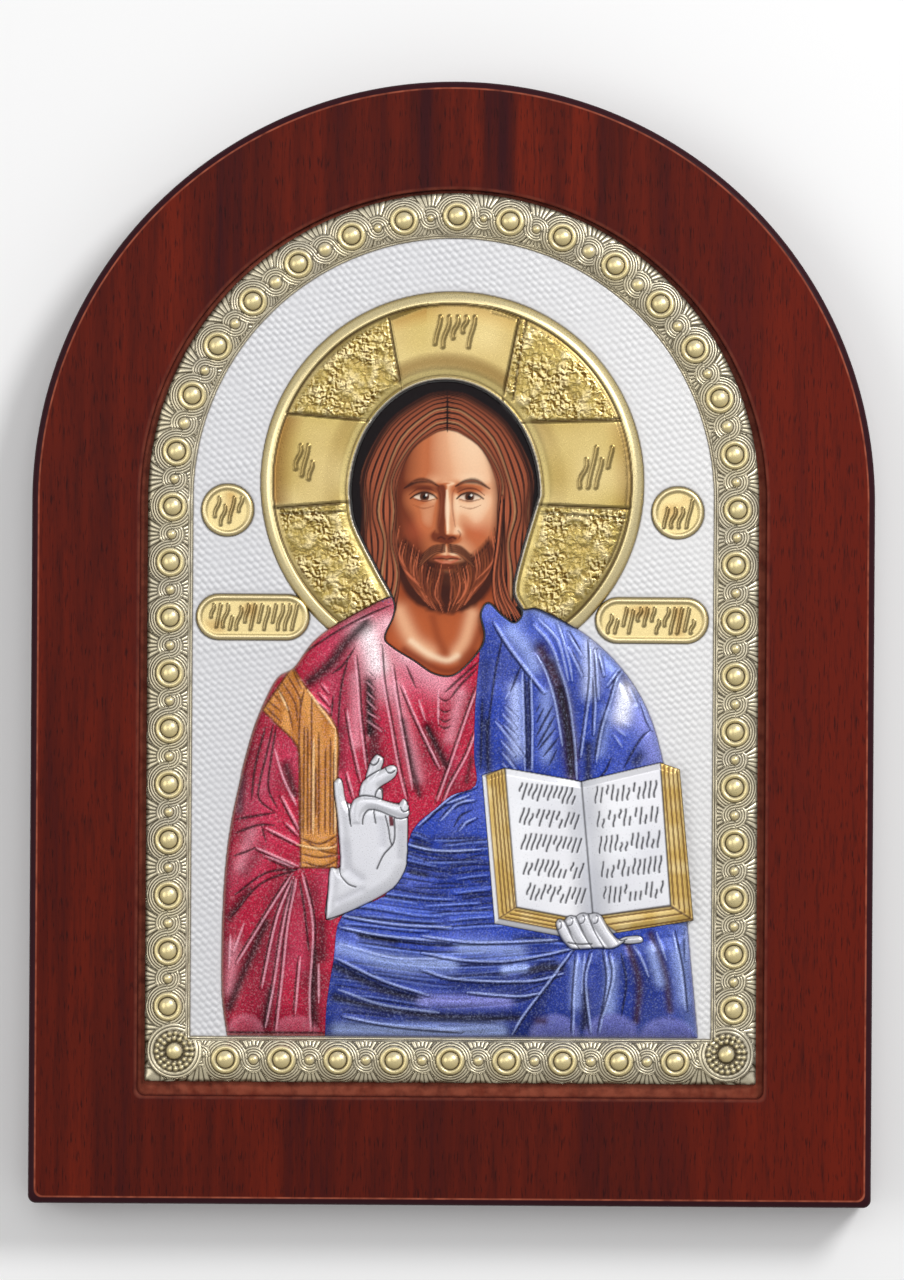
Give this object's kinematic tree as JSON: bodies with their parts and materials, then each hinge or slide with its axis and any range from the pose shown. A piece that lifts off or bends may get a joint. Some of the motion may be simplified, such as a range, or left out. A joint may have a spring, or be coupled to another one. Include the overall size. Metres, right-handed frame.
{
  "type": "icon panel",
  "caption": "Arched wood panel with a pressed metal relief plate of a robed half figure set in its recess, and a printed head behind the plate's cut-out.",
  "frame": {"origin": "under the middle of the board's flat back, which lies on the surface", "axes": "+Z out of the picture, +Y towards the top of the arch, +X towards the viewer's right when the picture is looked at"},
  "size_m": [0.15, 0.2, 0.0169],
  "materials": {
    "stained_wood": "satin",
    "pressed_metal": "satin",
    "printed_picture": "gloss"
  },
  "bodies": {
    "root": {"wood_board": "stained_wood", "pressed_plate": "pressed_metal", "face_print": "printed_picture"}
  },
  "joints": []
}
